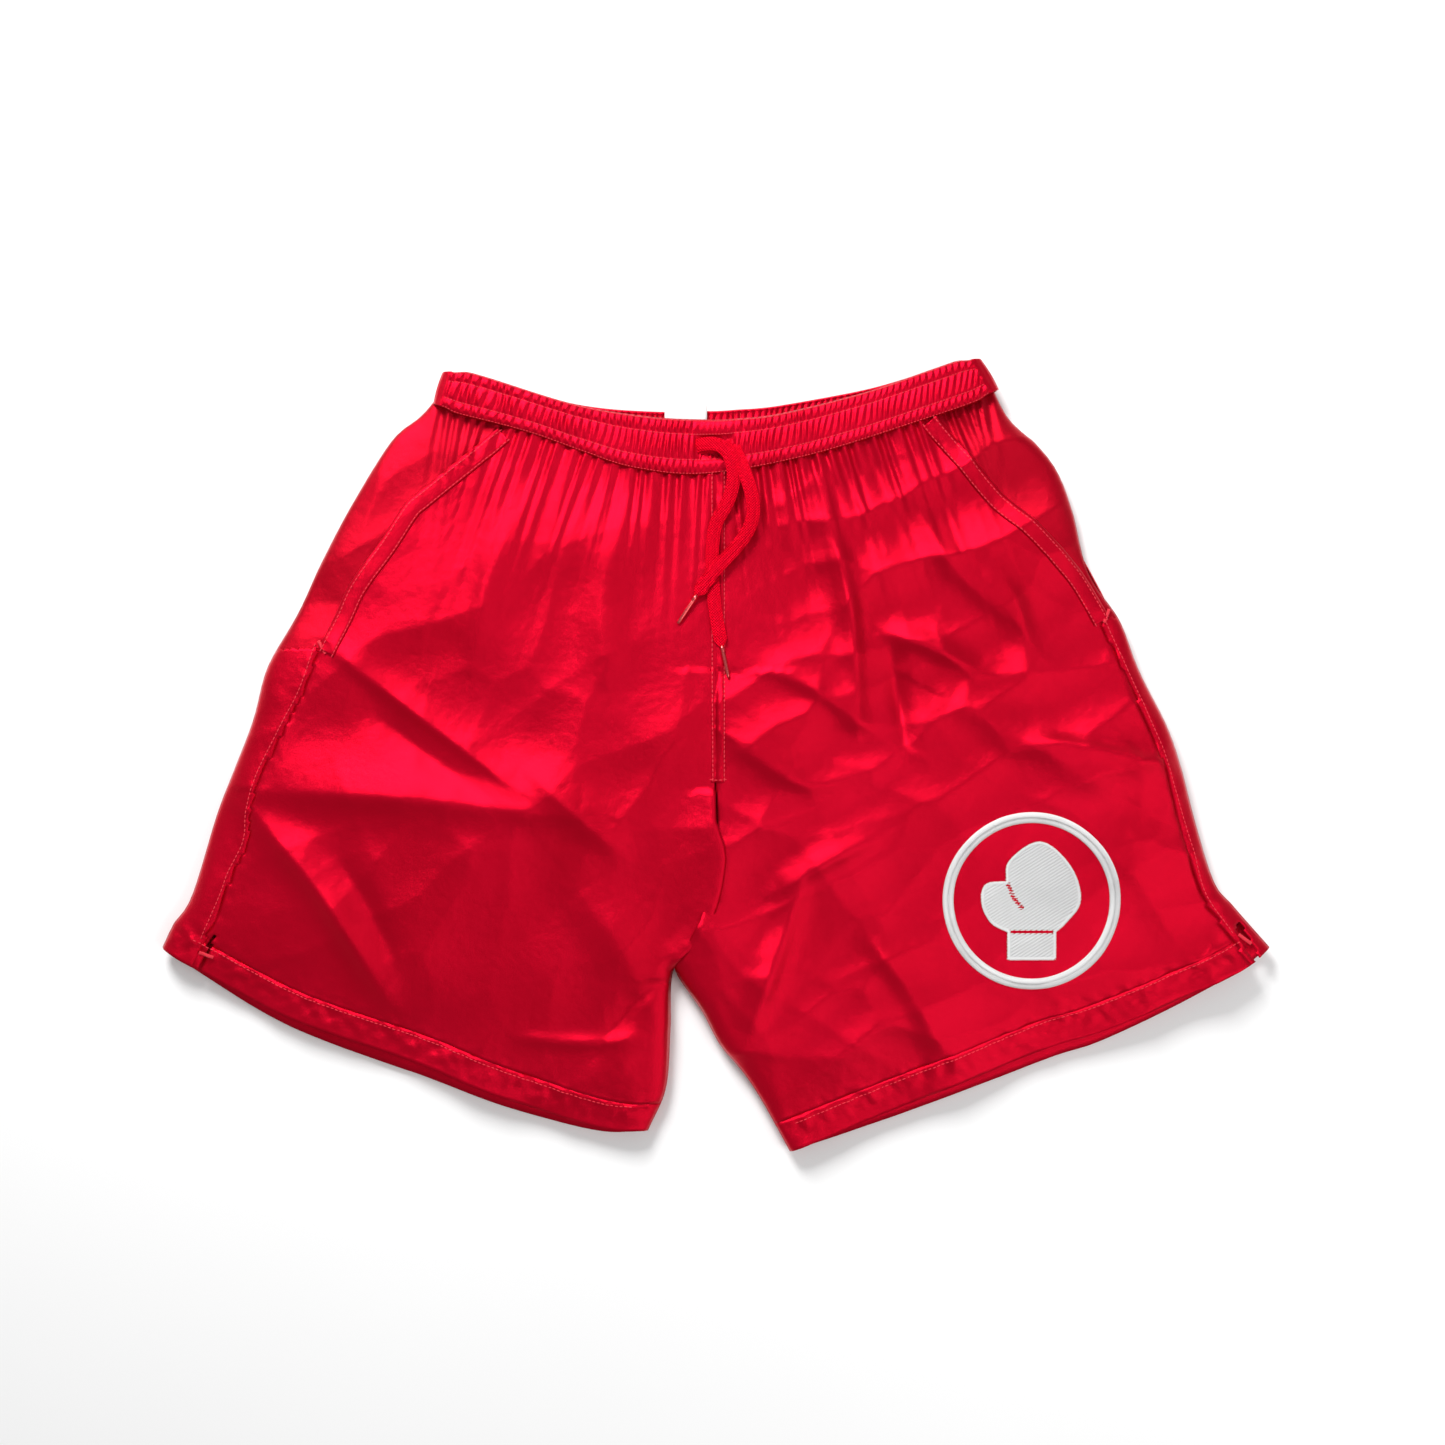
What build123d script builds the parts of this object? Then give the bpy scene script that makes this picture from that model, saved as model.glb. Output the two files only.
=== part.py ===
from build123d import *
import math
import os

# Boxing shorts laid flat with the front up, waist towards +Y, sizes in millimetres.
# The origin is under the middle of the garment, on the surface that it lies on.

# ---- cut of the garment, laid flat ----
garment_length = 520.0  # waist corner down to the inner corner of the hem
waist_half_width = 166.0  # relaxed, elastic drawn up
waist_front_radius = 372.0  # the top edge of the band is an arc that dips at the centre
band_depth = 36.0
hem_half_width = 366.0  # centre line to the outer corner of the hem
hem_lift = 132.0  # the outer corner of the hem is this much higher than the inner one
leg_gap_half = 47.0  # centre line to the inner corner of the hem
crotch_depth = 398.0  # waist corner down to the crotch point
hip_bulge = 18.0  # how far the side swells past a straight line
hip_at = 0.35  # where it does, as a share of the side from band to hem
thigh_at = 0.76  # where the side crosses that straight line
vent_at = 0.89  # top of the flare at the side vent
vent_dip = 9.0
hem_depth = 25.0
wrap = 18.0  # the back panel comes this far round the side onto the front
vent_gap = 3.0

# ---- thicknesses and heights ----
cloth = 1.0
lining = 0.7  # pocket cloth and turned allowances
hem_cloth = 2.0
body_height = 20.0
band_stand = 2.0  # how far the band stands above the body
band_height = body_height + band_stand
layer_gap = 0.1
pocket_gap = 6.6  # hand space between the two layers of the pocket

# ---- waistband ----
casing_wall = 0.8
cord_thickness = 1.8
cord_width = 9.0
tunnel_width = 14.0  # the middle channel, which the drawcord runs in
elastic_thickness = 1.5
channel_edge = 1.5  # folded edge of the casing above and below its channels
back_rise = 9.0  # the back of the band stands this much higher than the front at the centre
window_left = 13.0
window_right = 11.0
window_from_top = 11.0
slack = 0.1

# ---- fly, pockets, trim ----
fly_left = 4.0
fly_right = 6.0
fly_length = 200.0
pocket_from_centre = 150.0  # upper end of the pocket mouth
pocket_foot_at = 0.40  # foot of the pocket mouth, as a share of the side from band to hem
welt_width = 13.0
facing_under = 28.0  # how far the facing runs in under the front panel
facing_past_foot = 16.0
bag_past_facing = 16.4  # inner edge of the facing in to the inner edge of the bag
bag_seam = 1.0
bag_below_foot = 130.0
tack_length = 9.0
tack_width = 2.6
tack_thickness = 0.6
emblem_right = 207.5
emblem_above_hem = 163.3  # centre of the emblem above the inner corner of the hem
emblem_radius = 54.8
emblem_stroke = 7.3
emblem_thickness = 0.6
label_width = 28.0
label_height = 40.0
label_left = 34.0
label_thickness = 0.4
label_stand = 2.0  # the label's fold stands this much above the back of the band

# ---- drawcord tails ----
tail_clearance = 0.3
aglet_diameter = 2.4
aglet_left_length = 19.0
aglet_right_length = 20.0
left_tail = [
    (-13.0, 202.3),
    (-1.0, 204.5),
    (9.2, 197.0),
    (12.5, 180.5),
    (7.9, 164.0),
    (-0.7, 151.5),
    (-2.6, 134.3),
    (-2.2, 110.0),
    (0.2, 88.0),
    (4.3, 68.6),
]
right_tail = [
    (11.2, 202.3),
    (18.9, 184.3),
    (25.0, 164.7),
    (23.8, 150.8),
    (15.8, 137.6),
    (2.6, 124.4),
    (-7.6, 111.6),
    (-14.0, 102.0),
]

# ---- worked out from the above ----
waist_corner_y = garment_length / 2
hem_inner = (leg_gap_half, -garment_length / 2)
hem_outer = (hem_half_width, hem_inner[1] + hem_lift)
crotch_y = waist_corner_y - crotch_depth
band_angle = math.degrees(math.asin(waist_half_width / waist_front_radius))
band_centre_y = waist_corner_y + waist_front_radius * math.cos(math.radians(band_angle))
band_bottom_radius = waist_front_radius + band_depth
band_middle_radius = waist_front_radius + band_depth / 2
band_top_y = band_centre_y - waist_front_radius
casing_thickness = 2 * casing_wall + cord_thickness + elastic_thickness + 3 * slack
cord_in = casing_wall + slack
elastic_in = cord_in + cord_thickness + slack
front_z = body_height - cloth
under_front_z = front_z - layer_gap - lining
facing_z = under_front_z - pocket_gap - lining
bag_z = facing_z - layer_gap - lining
far = 2 * garment_length
end_reach = 60.0  # how far the sides are drawn on past the hem and the waist before they are cut


def along(start, end, share, aside=0.0):
    """The point a share of the way from start to end, moved aside to the left of that line."""
    dx, dy = end[0] - start[0], end[1] - start[1]
    length = math.hypot(dx, dy)
    return (
        start[0] + share * dx - aside * dy / length,
        start[1] + share * dy + aside * dx / length,
    )


band_corner = (
    band_bottom_radius * math.sin(math.radians(band_angle)),
    band_centre_y - band_bottom_radius * math.cos(math.radians(band_angle)),
)
waist_corner = (waist_half_width, waist_corner_y)
crotch = (0.0, crotch_y)
hip = along(band_corner, hem_outer, hip_at, hip_bulge)
thigh = along(band_corner, hem_outer, thigh_at)
vent = along(band_corner, hem_outer, vent_at, -vent_dip)
mouth_foot = along(band_corner, hem_outer, pocket_foot_at, hip_bulge - wrap)
mouth_top = (
    pocket_from_centre,
    band_centre_y - math.sqrt(band_bottom_radius**2 - pocket_from_centre**2),
)
emblem_centre = (emblem_right, hem_inner[1] + emblem_above_hem)


def reach_past(start, end, distance):
    """The point that lies past end on the line from start."""
    return along(start, end, 1 + distance / math.dist(start, end))


def cut_right_of(start, end):
    """Takes away everything to the right of the line from start to end."""
    reach = far / math.dist(start, end)
    corners = [
        along(start, end, share, aside)
        for share, aside in ((-reach, 0), (1 + reach, 0), (1 + reach, -far), (-reach, -far))
    ]
    with BuildLine() as border:
        Polyline(*corners, close=True)
    make_face(border.edges(), mode=Mode.SUBTRACT)


def leg_and_hip(inset=0.0, hem_from=0.0, hem_to=None, band_clear=0.0):
    """The right half below the band, its side and inseam moved in, between two lines along the hem."""
    with BuildLine() as border:
        Polyline(
            (0, reach_past(band_corner, waist_corner, end_reach)[1]),
            crotch,
            reach_past(crotch, hem_inner, end_reach),
            reach_past(vent, hem_outer, end_reach),
            vent,
            thigh,
        )
        ThreePointArc(thigh, hip, band_corner)
        Polyline(
            band_corner,
            reach_past(band_corner, waist_corner, end_reach),
            (0, reach_past(band_corner, waist_corner, end_reach)[1]),
        )
    make_face(border.edges())
    mirror(about=Plane.YZ)
    if inset:
        offset(amount=-inset, mode=Mode.REPLACE)
    with Locations((0, band_centre_y)):
        Circle(band_bottom_radius + band_clear, mode=Mode.SUBTRACT)
    cut_right_of((0, 1), (0, 0))
    cut_right_of(along(hem_inner, hem_outer, 0, hem_from), along(hem_inner, hem_outer, 1, hem_from))
    if hem_to:
        cut_right_of(along(hem_inner, hem_outer, 1, hem_to), along(hem_inner, hem_outer, 0, hem_to))


def keep_inside_mouth(back=0.0):
    """Takes away what lies outside the pocket mouth, or outside a line that far in from it."""
    cut_right_of(along(mouth_top, mouth_foot, 1, -back), along(mouth_top, mouth_foot, 0, -back))


def keep_outside_mouth(back):
    """Takes away what lies further in than a line that far in from the pocket mouth."""
    cut_right_of(along(mouth_top, mouth_foot, 0, -back), along(mouth_top, mouth_foot, 1, -back))


def stop_past_foot(distance):
    """Takes away what lies further than this past the foot of the pocket mouth."""
    end = reach_past(mouth_top, mouth_foot, distance)
    cut_right_of(along(mouth_top, end, 1, -welt_width), end)


def bag_outline(wall=0.0):
    """The pocket bag, seen from above, or the space inside its walls."""
    leg_and_hip(inset=cloth + bag_seam + wall, band_clear=wall)
    inner = mouth_top[0] - facing_under - bag_past_facing + wall
    floor = mouth_foot[1] - bag_below_foot + wall
    cut_right_of((inner, 1), (inner, 0))
    cut_right_of((0, floor), (1, floor))


def tube_half(thickness, hem_from, hem_to=None):
    """One layer of cloth that lies flat, turns up at the side and inseam and comes back onto the front."""
    with BuildSketch() as outside:
        leg_and_hip(0.0, hem_from, hem_to)
    extrude(outside.sketch, amount=body_height)
    with BuildSketch(Plane.XY.offset(thickness)) as inside:
        leg_and_hip(thickness, hem_from, hem_to)
    extrude(inside.sketch, amount=body_height - 2 * thickness, mode=Mode.SUBTRACT)
    with BuildSketch(Plane.XY.offset(body_height - thickness)) as between_seams:
        leg_and_hip(wrap, hem_from, hem_to)
    extrude(between_seams.sketch, amount=thickness, mode=Mode.SUBTRACT)


def band_sector(inset=0.0, top=0.0, bottom=0.0):
    """The band seen from above: a sector of a ring, its ends and its two edges moved in."""
    with Locations((0, band_centre_y)):
        Circle(band_bottom_radius - bottom)
        Circle(waist_front_radius + top, mode=Mode.SUBTRACT)
    angle = math.radians(band_angle) - inset / band_middle_radius
    centre = (0, band_centre_y)
    end = (math.sin(angle), band_centre_y - math.cos(angle))
    cut_right_of(end, centre)
    cut_right_of(centre, (-end[0], end[1]))


def band_block(inset, top=0.0, bottom=0.0, mode=Mode.ADD):
    """A block of the band's outline, the same distance in from its front, back and ends."""
    with BuildSketch(Plane.XY.offset(inset)) as sector:
        band_sector(inset, top, bottom)
    extrude(sector.sketch, amount=band_height - 2 * inset, mode=mode)


def hoop(outer, thickness, top, bottom):
    """A flat hoop that runs round inside the band."""
    band_block(outer, top, bottom)
    band_block(outer + thickness, top - slack, bottom - slack, Mode.SUBTRACT)


pieces = {}


def finish(name, part):
    """Names a finished piece."""
    part.label = name
    pieces[name] = part


def finish_pair(name, right):
    """Names a piece on the right, and makes its mirror image on the left."""
    with BuildPart() as left:
        mirror(right, about=Plane.YZ)
    finish(name + "_right", right)
    finish(name + "_left", left.part)


# ---- body and legs ----
with BuildPart() as back_panel:
    tube_half(cloth, hem_depth)
finish_pair("back_panel", back_panel.part)

with BuildPart() as hem_back:
    tube_half(hem_cloth, 0.0, hem_depth)
finish_pair("hem_back", hem_back.part)

with BuildPart() as front_panel:
    with BuildSketch(Plane.XY.offset(front_z)):
        leg_and_hip(wrap, hem_depth)
        keep_inside_mouth()
    extrude(amount=cloth)
finish_pair("front_panel", front_panel.part)

with BuildPart() as hem_front:
    with BuildSketch(Plane.XY.offset(body_height - hem_cloth)):
        leg_and_hip(wrap, 0.0, hem_depth)
        cut_right_of(
            along(vent, hem_outer, 1, -wrap - vent_gap), along(vent, hem_outer, 0, -wrap - vent_gap)
        )
    extrude(amount=hem_cloth)
finish_pair("hem_front", hem_front.part)

with BuildPart() as fly_placket:
    with BuildSketch(Plane.XY.offset(under_front_z)):
        with Locations(((fly_right - fly_left) / 2, band_top_y - band_depth - fly_length / 2)):
            Rectangle(fly_left + fly_right, fly_length)
        with Locations((0, band_centre_y)):
            Circle(band_bottom_radius, mode=Mode.SUBTRACT)
    extrude(amount=lining)
finish("fly_placket", fly_placket.part)

# ---- slant pockets ----
with BuildPart() as pocket_welt:
    with BuildSketch(Plane.XY.offset(under_front_z)):
        leg_and_hip(wrap)
        keep_inside_mouth()
        keep_outside_mouth(welt_width)
        stop_past_foot(0.0)
    extrude(amount=lining)
finish_pair("pocket_welt", pocket_welt.part)

with BuildPart() as pocket_facing:
    with BuildSketch(Plane.XY.offset(facing_z)):
        leg_and_hip(cloth + bag_seam + lining + slack, band_clear=lining + slack)
        keep_outside_mouth(facing_under)
        stop_past_foot(facing_past_foot)
    extrude(amount=lining)
finish_pair("pocket_facing", pocket_facing.part)

with BuildPart() as pocket_bag:
    with BuildSketch(Plane.XY.offset(bag_z)):
        bag_outline()
    extrude(amount=under_front_z + lining - bag_z)
    with BuildSketch(Plane.XY.offset(bag_z + lining)):
        bag_outline(lining)
    extrude(amount=under_front_z - bag_z - lining, mode=Mode.SUBTRACT)
    with BuildSketch(Plane.XY.offset(under_front_z)):
        bag_outline()
        keep_outside_mouth(welt_width)
        stop_past_foot(0.0)
    extrude(amount=lining, mode=Mode.SUBTRACT)
finish_pair("pocket_bag", pocket_bag.part)

with BuildPart() as pocket_tack:
    with BuildSketch(Plane.XY.offset(body_height)):
        with Locations(along(mouth_top, mouth_foot, 1, -tack_length / 2)):
            Rectangle(
                tack_length,
                tack_width,
                rotation=math.degrees(
                    math.atan2(mouth_foot[0] - mouth_top[0], mouth_top[1] - mouth_foot[1])
                ),
            )
    extrude(amount=tack_thickness)
finish_pair("pocket_tack", pocket_tack.part)

with BuildPart() as vent_tack:
    with BuildSketch(Plane.XY.offset(body_height)):
        with Locations(along(vent, hem_outer, 0.5, -wrap - vent_gap / 2)):
            Rectangle(
                tack_length,
                tack_width,
                rotation=math.degrees(math.atan2(hem_outer[0] - vent[0], vent[1] - hem_outer[1])),
            )
    extrude(amount=tack_thickness)
finish_pair("vent_tack", vent_tack.part)

# ---- waistband ----
with BuildPart() as channels:
    hoop(casing_wall, casing_thickness - 2 * casing_wall, channel_edge, channel_edge)

with BuildPart() as casing:
    band_block(0.0)
    with BuildSketch():
        with BuildLine():
            left_corner = (-waist_corner[0], waist_corner[1])
            ThreePointArc(left_corner, (0, band_top_y), waist_corner)
            ThreePointArc(waist_corner, (0, band_top_y + back_rise), left_corner)
        make_face()
    extrude(amount=casing_thickness)
    band_block(casing_thickness, -slack, -slack, Mode.SUBTRACT)
    add(channels.part, mode=Mode.SUBTRACT)
    with BuildSketch(Plane.XY.offset(band_height - casing_wall)):
        with Locations(
            ((window_right - window_left) / 2, band_top_y - window_from_top - tunnel_width / 2)
        ):
            Rectangle(window_left + window_right, tunnel_width)
    extrude(amount=casing_wall, mode=Mode.SUBTRACT)

for name, side in (("waistband_front", Keep.TOP), ("waistband_back", Keep.BOTTOM)):
    with BuildPart() as casing_half:
        add(casing.part)
        split(bisect_by=Plane.XY.offset(band_height / 2), keep=side)
    finish(name, casing_half.part)

with BuildPart() as waist_elastic:
    hoop(elastic_in, elastic_thickness, channel_edge + slack, channel_edge + slack)
finish("waist_elastic", waist_elastic.part)

with BuildPart() as drawcord_run:
    cord_from_top = window_from_top + (tunnel_width - cord_width) / 2
    hoop(cord_in, cord_thickness, cord_from_top, band_depth - cord_from_top - cord_width)
    with BuildSketch(Plane.XY.offset(band_height / 2)):
        with Locations(((window_right - window_left) / 2, band_top_y - band_depth / 2)):
            Rectangle(window_left + window_right, band_depth)
    extrude(amount=band_height / 2, mode=Mode.SUBTRACT)
finish("drawcord_run", drawcord_run.part)

with BuildPart() as care_label:
    with BuildSketch(Plane.XY.offset(casing_thickness)):
        with Locations(
            (
                label_width / 2 - label_left,
                band_top_y + back_rise + label_stand - label_height / 2,
            )
        ):
            Rectangle(label_width, label_height)
    extrude(amount=label_thickness)
finish("care_label", care_label.part)

# ---- embroidered emblem on the right leg: a ring round the outline of a boxing glove ----
with BuildPart() as emblem_ring:
    with BuildSketch(Plane.XY.offset(body_height)):
        with Locations(emblem_centre):
            Circle(emblem_radius)
            Circle(emblem_radius - emblem_stroke, mode=Mode.SUBTRACT)
    extrude(amount=emblem_thickness)
finish("emblem_ring", emblem_ring.part)

with BuildPart() as emblem_motif:
    with BuildSketch(Plane(origin=(*emblem_centre, body_height), z_dir=(0, 0, 1))):
        with BuildLine():
            Polyline((-15, -20), (-15, -38), (15, -38), (15, -20))
            ThreePointArc((15, -20), (31, 0), (25, 22))
            ThreePointArc((25, 22), (6, 38), (-14, 26))
            Line((-14, 26), (-16, 12))
            ThreePointArc((-16, 12), (-30, 10), (-32, -2))
            ThreePointArc((-32, -2), (-26, -14), (-15, -20))
        make_face()
        offset(amount=-emblem_stroke, mode=Mode.SUBTRACT)
    extrude(amount=emblem_thickness)
finish("emblem_motif", emblem_motif.part)


# ---- free tails of the drawcord ----
def corner_radii(points):
    """The largest even radius at each corner: 0.45 of the shorter run over the tangent of half the turn."""
    radii = []
    for before, corner, after in zip(points, points[1:], points[2:]):
        run_in, run_out = Vector(*corner) - Vector(*before), Vector(*after) - Vector(*corner)
        half_turn = math.radians(run_in.get_angle(run_out)) / 2
        radii.append(0.45 * min(run_in.length, run_out.length) / math.tan(half_turn))
    return radii


def tail_and_aglet(side, points, height, aglet_length):
    """A flat tail that lies on the front, and the metal tip crimped on its end."""
    radii = corner_radii(points)
    with BuildPart() as tail:
        with BuildLine(Plane.XY.offset(height)) as route:
            FilletPolyline(*points, radius=radii)
        start = route.line % 0
        with BuildSketch(Plane(origin=route.line @ 0, x_dir=(start.Y, -start.X, 0), z_dir=start)):
            Rectangle(cord_width, cord_thickness)
        sweep()
    finish("drawcord_tail_" + side, tail.part)
    with BuildPart() as aglet:
        with BuildSketch(Plane(origin=route.line @ 1, z_dir=route.line % 1)):
            Circle(aglet_diameter / 2)
        extrude(amount=aglet_length)
    finish("aglet_" + side, aglet.part)
    length = route.wire().length
    print(
        f"tail {side}: length {length:.1f}, radii {[round(r, 1) for r in radii]},",
        f"volume {tail.part.volume:.1f} against {cord_width * cord_thickness * length:.1f}",
    )


lower_tail_z = band_height + tail_clearance + cord_thickness / 2
upper_tail_z = lower_tail_z + (cord_thickness + aglet_diameter) / 2 + tail_clearance
tail_and_aglet("left", left_tail, lower_tail_z, aglet_left_length)
tail_and_aglet("right", right_tail, upper_tail_z, aglet_right_length)

os.makedirs("parts", exist_ok=True)
for name, part in pieces.items():
    export_step(part, f"parts/{name}.step")
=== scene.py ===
# %% [markdown]
# # Red boxing shorts, laid flat
# A pair of wide nylon shorts lies on a floor with the front up. The script loads the packed
# model, which is the fixed frame, and makes the soft looks round it, in metres.

# %% Load the frame
import math
import bmesh
import bpy
import numpy as np
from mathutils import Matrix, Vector, noise


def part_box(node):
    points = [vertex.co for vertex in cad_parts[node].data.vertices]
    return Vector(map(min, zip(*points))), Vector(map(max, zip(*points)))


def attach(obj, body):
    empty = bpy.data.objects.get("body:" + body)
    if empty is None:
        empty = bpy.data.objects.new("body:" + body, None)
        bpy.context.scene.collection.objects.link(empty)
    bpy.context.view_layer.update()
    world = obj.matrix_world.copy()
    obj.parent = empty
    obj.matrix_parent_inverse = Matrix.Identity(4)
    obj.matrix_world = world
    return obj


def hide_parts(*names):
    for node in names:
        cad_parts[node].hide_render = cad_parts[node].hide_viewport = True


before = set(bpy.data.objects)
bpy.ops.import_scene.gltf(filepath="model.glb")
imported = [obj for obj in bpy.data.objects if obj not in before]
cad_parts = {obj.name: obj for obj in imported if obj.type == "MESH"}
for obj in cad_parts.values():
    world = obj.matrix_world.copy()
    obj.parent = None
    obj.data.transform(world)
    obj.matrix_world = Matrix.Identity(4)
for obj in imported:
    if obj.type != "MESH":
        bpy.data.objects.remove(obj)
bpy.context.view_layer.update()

MM = 0.001

# %% [markdown]
# ## Camera, floor and light
# Flat clothes are shown from straight above. One broad soft light stands beyond the waist, so
# every fold is bright on its upper side and shades towards the hem. A weaker light fills in.

# %% Camera, floor and lights
scene = bpy.context.scene
scene.view_settings.view_transform = "Standard"
camera_data = bpy.data.cameras.new("camera")
camera_data.lens = 50.0
camera_data.sensor_width = 36.0
camera = bpy.data.objects.new("camera", camera_data)
camera.location = (0.0043, 0.0205, 1.335)
scene.collection.objects.link(camera)
scene.camera = camera


def area_light(name, place, size, power, aim=(0.0, 0.0, 0.0)):
    lamp = bpy.data.lights.new(name, "AREA")
    lamp.size = size
    lamp.energy = power
    lamp_object = bpy.data.objects.new(name, lamp)
    lamp_object.location = place
    turn = (Vector(aim) - Vector(place)).to_track_quat("-Z", "Y")
    lamp_object.rotation_euler = turn.to_euler()
    scene.collection.objects.link(lamp_object)


area_light("key_light", (-0.45, 1.15, 0.95), 0.55, 30.0)
area_light("fill_light", (0.9, -0.5, 1.1), 0.8, 7.0)
world = bpy.data.worlds.new("studio")
world.use_nodes = True
world.node_tree.nodes["Background"].inputs["Color"].default_value = (1.0, 1.0, 1.0, 1.0)
world.node_tree.nodes["Background"].inputs["Strength"].default_value = 0.42
scene.world = world
print("lights", sorted(lamp.name for lamp in bpy.data.lights))

# %% [markdown]
# ## Shader maths
# A finish is easier to read as sums than as boxes and wires. This class wraps one socket, and
# each operator adds the Math node that does it.


# %% A socket that can be added up
class Sock:
    def __init__(self, tree, socket):
        self.tree = tree
        self.socket = socket

    def math(self, operation, *others):
        return self.tree.node("ShaderNodeMath", {"operation": operation}, [self, *others])

    def __add__(self, other):
        return self.math("ADD", other)

    def __sub__(self, other):
        return self.math("SUBTRACT", other)

    def __mul__(self, other):
        return self.math("MULTIPLY", other)

    def __rsub__(self, other):
        return self.tree.node("ShaderNodeMath", {"operation": "SUBTRACT"}, [other, self])

    __radd__ = __add__
    __rmul__ = __mul__


class Finish:
    """One material: its shader, and one method that adds any other node."""

    def __init__(self, name, constants):
        self.material = bpy.data.materials.new(name)
        self.material.use_nodes = True
        self.nodes = self.material.node_tree.nodes
        self.links = self.material.node_tree.links
        self.shader = self.nodes["Principled BSDF"]
        for socket, value in constants.items():
            self.shader.inputs[socket].default_value = value

    def node(self, kind, settings=None, values=(), out=0):
        made = self.nodes.new(kind)
        for key, value in (settings or {}).items():
            setattr(made, key, value)
        pairs = values.items() if isinstance(values, dict) else enumerate(values)
        for key, value in pairs:
            if isinstance(value, Sock):
                self.links.new(value.socket, made.inputs[key])
            else:
                made.inputs[key].default_value = value
        return Sock(self, made.outputs[out])

    def place(self):
        """The three Object coordinates, and the vector they come from."""
        vector = self.node("ShaderNodeTexCoord", out="Object")
        split = self.nodes.new("ShaderNodeSeparateXYZ")
        self.links.new(vector.socket, split.inputs[0])
        return vector, [Sock(self, split.outputs[i]) for i in range(3)]

    def mix(self, share, first, second):
        values = {"Factor": share, 6: first, 7: second}
        return self.node("ShaderNodeMix", {"data_type": "RGBA"}, values, out=2)

    def noise(self, vector, scale, detail=3.0):
        values = {"Vector": vector, "Scale": scale, "Detail": detail}
        return self.node("ShaderNodeTexNoise", values=values)

    def feed(self, **sockets):
        for name, value in sockets.items():
            self.links.new(value.socket, self.shader.inputs[name.replace("_", " ")])

    def bump(self, height, distance, strength=1.0):
        values = {"Height": height, "Distance": distance, "Strength": strength}
        self.links.new(
            self.node("ShaderNodeBump", values=values).socket, self.shader.inputs["Normal"]
        )


# %% [markdown]
# ## Finishes
# The cloth is a close nylon weave with a satin face, so its highlights are tinted and broad.
# Threads, tape and lining share the same build: a base colour that drifts a little, a
# roughness that drifts with it, and a fine weave in the bump.


# %% Woven finishes
def woven(name, dark, light, pitch, rough, metal=0.0, depth=0.00012, sheen=0.0, crinkle=0.0):
    finish = Finish(
        name, {"Metallic": metal, "Specular IOR Level": 0.12, "Sheen Weight": sheen}
    )
    vector, (x, y, _) = finish.place()
    drift = finish.noise(vector, 14.0)
    grain = finish.noise(vector, 900.0, 1.0)
    turns = 2.0 * math.pi / pitch
    weft = (x * turns).math("SINE")
    warp = (y * turns).math("SINE")
    weave = weft * warp * 0.5 + 0.5
    share = drift * 0.75 + weave * 0.12 + grain * 0.13
    finish.feed(
        Base_Color=finish.mix(share, (*dark, 1.0), (*light, 1.0)),
        Roughness=drift * 0.10 + grain * 0.06 + (rough - 0.08),
    )
    height = weave * 0.6 + grain * 0.4
    if crinkle:
        height = height + finish.noise(vector, 95.0, 4.0) * crinkle
    finish.bump(height, depth)
    return finish.material


nylon = woven(
    "red_satin_nylon", (0.48, 0.0005, 0.012), (0.66, 0.0015, 0.024), 0.0007, 0.36,
    metal=0.8, crinkle=4.0,
)
# The pocket facing is the same satin nylon as the panel. Its darker colours are painted shade for
# the facing, which lies lower under the panel edge.
painted_shade_facing_cloth = woven(
    "facing_nylon_painted_shade", (0.40, 0.001, 0.010), (0.56, 0.0012, 0.020), 0.0007, 0.38, metal=0.75,
    crinkle=4.0,
)
lining = woven("pocket_lining", (0.42, 0.01, 0.02), (0.55, 0.02, 0.035), 0.0012, 0.75)
thread = woven("red_thread", (0.70, 0.02, 0.045), (0.88, 0.05, 0.08), 0.0005, 0.42, sheen=0.1)
tape = woven("cord_tape", (0.56, 0.0, 0.010), (0.86, 0.0, 0.024), 0.0018, 0.5, 0.8, 0.0009)
silk = woven("white_embroidery", (0.50, 0.50, 0.51), (0.88, 0.88, 0.87), 0.0009, 0.45)
label_cloth = woven("white_label", (0.80, 0.80, 0.80), (0.95, 0.95, 0.94), 0.0006, 0.5)
metal = Finish("aglet_metal", {"Metallic": 1.0})
metal_vector, _ = metal.place()
scratches = metal.noise(metal_vector, 1500.0)
metal.feed(
    Base_Color=metal.mix(scratches, (0.62, 0.05, 0.06, 1.0), (0.85, 0.16, 0.16, 1.0)),
    Roughness=scratches * 0.2 + 0.18,
)
metal.bump(scratches, 0.00004)
floor_finish = Finish("floor_paper", {"Roughness": 0.8})
floor_vector, _ = floor_finish.place()
floor_finish.feed(
    Base_Color=floor_finish.mix(
        floor_finish.noise(floor_vector, 3.0), (0.90, 0.90, 0.90, 1.0), (0.93, 0.93, 0.93, 1.0)
    )
)

floor_mesh = bpy.data.meshes.new("floor")
floor_mesh.from_pydata([(-3, -3, 0), (3, -3, 0), (3, 3, 0), (-3, 3, 0)], [], [(0, 1, 2, 3)])
floor_mesh.materials.append(floor_finish.material)
floor = bpy.data.objects.new("floor", floor_mesh)
floor.location = (0.0, 0.0, -0.0004)
scene.collection.objects.link(floor)
print("finishes", len(bpy.data.materials))


# %% [markdown]
# ## Making a piece
# Every shape is worked out in millimetres and turned into a mesh here, with only the points
# that its faces use. A sheet's normals all face one way, and Solidify gives it a thickness.


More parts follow.
